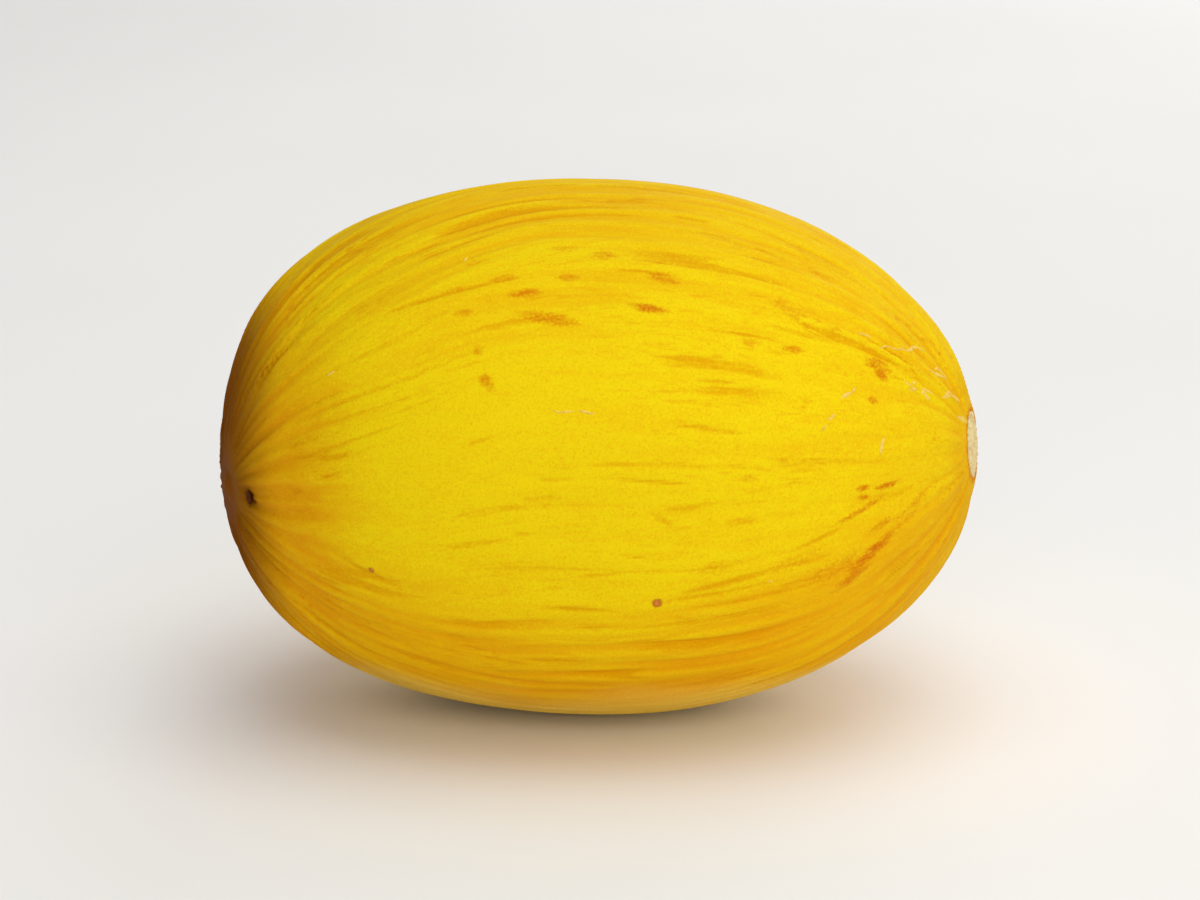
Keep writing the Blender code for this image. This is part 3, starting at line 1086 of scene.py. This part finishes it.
def soft_light(name, light, target, power):
    """A big square area light at its place from the target, turned to it."""
    offset, size = light
    lamp = bpy.data.lights.new(name, "AREA")
    lamp.shape = "SQUARE"
    lamp.size = size
    lamp.energy = power
    made = bpy.data.objects.new(name, lamp)
    made.location = target + offset
    made.rotation_euler = (-offset).to_track_quat("-Z", "Y").to_euler()
    bpy.context.scene.collection.objects.link(made)


def studio_world():
    """Soft light from all round, dimmer from the blossom end's side."""
    world = bpy.data.worlds.new("studio_world")
    world.use_nodes = True
    tree = world.node_tree
    background = tree.nodes["Background"]
    direction = add_node(tree, "TexCoord", {}, output="Generated")
    sideways = add_node(tree, "SeparateXYZ", {0: direction}, output="X")
    strength = add_node(tree, "MapRange", {
        "Value": sideways, "From Min": DIM_SIDE[0], "To Min": DIM_SIDE[1],
        "From Max": BRIGHT_SIDE[0], "To Max": BRIGHT_SIDE[1]}, interpolation_type="SMOOTHSTEP")
    background.inputs["Color"].default_value = linear("#FFFFFF")
    tree.links.new(strength, background.inputs["Strength"])
    bpy.context.scene.world = world


def place_camera(settings, middle):
    """Stands the camera far enough off for the fruit to fill its share of the picture."""
    camera_data = bpy.data.cameras.new("camera")
    camera_data.lens = settings.lens
    picture_width = (CAD_HIGH.x - CAD_LOW.x) / settings.fruit_share
    distance = picture_width * settings.lens / camera_data.sensor_width
    down = math.radians(settings.view_height_deg)
    turn = math.radians(settings.view_turn_deg)
    back = Vector((math.sin(turn) * math.cos(down), -math.cos(turn) * math.cos(down),
                   math.sin(down)))
    camera = bpy.data.objects.new("camera", camera_data)
    camera.location = middle + AIM_OFFSET + back * distance
    camera.rotation_euler = (-back).to_track_quat("-Z", "Y").to_euler()
    bpy.context.scene.collection.objects.link(camera)
    bpy.context.scene.camera = camera


class MELON_OT_stage(bpy.types.Operator):
    """Set up the pale floor, the soft lights and the camera"""

    bl_idname = "melon.stage"
    bl_label = "Stage"

    def execute(self, context):
        settings = context.scene.melon_stage
        middle = (CAD_LOW + CAD_HIGH) / 2
        paper = bmesh.new()
        bmesh.ops.create_grid(paper, x_segments=8, y_segments=8, size=FLOOR_SIZE / 2)
        mesh = bpy.data.meshes.new("floor")
        paper.to_mesh(mesh)
        paper.free()
        mesh.materials.append(matt_studio_paper(settings.floor_colour))
        floor = bpy.data.objects.new("floor", mesh)
        context.scene.collection.objects.link(floor)
        soft_light("key_light", KEY_LIGHT, middle, settings.key_power)
        soft_light("top_light", TOP_LIGHT, middle, settings.top_power)
        soft_light("back_light", BACK_LIGHT, middle, settings.back_power)
        studio_world()
        place_camera(settings, middle)
        context.scene.view_settings.view_transform = "Standard"
        return {"FINISHED"}


class MELON_PT_panel(bpy.types.Panel):
    """Lists the fruit's pieces and their settings"""

    bl_idname = "MELON_PT_panel"
    bl_label = "Canary Melon"
    bl_space_type = "VIEW_3D"
    bl_region_type = "UI"
    bl_category = "Melon"

    def draw(self, context):
        scene = context.scene
        for heading, settings, makers in (
                ("Rind", scene.melon_rind, (MELON_OT_rind,)),
                ("Scars", scene.melon_scars, SCAR_MAKERS),
                ("Stage", scene.melon_stage, (MELON_OT_stage,))):
            box = self.layout.box()
            box.label(text=heading)
            for name in settings.__annotations__:
                box.prop(settings, name)
            for maker in makers:
                box.operator(maker.bl_idname)


SCAR_MAKERS = (MELON_OT_stem_scar, MELON_OT_blossom_remnant, MELON_OT_healed_scratches)
CLASSES = (RindSettings, ScarSettings, StageSettings, MELON_OT_rind, *SCAR_MAKERS,
           MELON_OT_stage, MELON_PT_panel)


def register():
    for made in CLASSES:
        bpy.utils.register_class(made)
    bpy.types.Scene.melon_rind = PointerProperty(type=RindSettings)
    bpy.types.Scene.melon_scars = PointerProperty(type=ScarSettings)
    bpy.types.Scene.melon_stage = PointerProperty(type=StageSettings)


def unregister():
    del bpy.types.Scene.melon_stage
    del bpy.types.Scene.melon_scars
    del bpy.types.Scene.melon_rind
    for made in reversed(CLASSES):
        bpy.utils.unregister_class(made)


def main():
    register()
    bpy.ops.melon.rind()
    bpy.ops.melon.stem_scar()
    bpy.ops.melon.blossom_remnant()
    bpy.ops.melon.healed_scratches()
    bpy.ops.melon.stage()


if __name__ == "__main__":
    main()
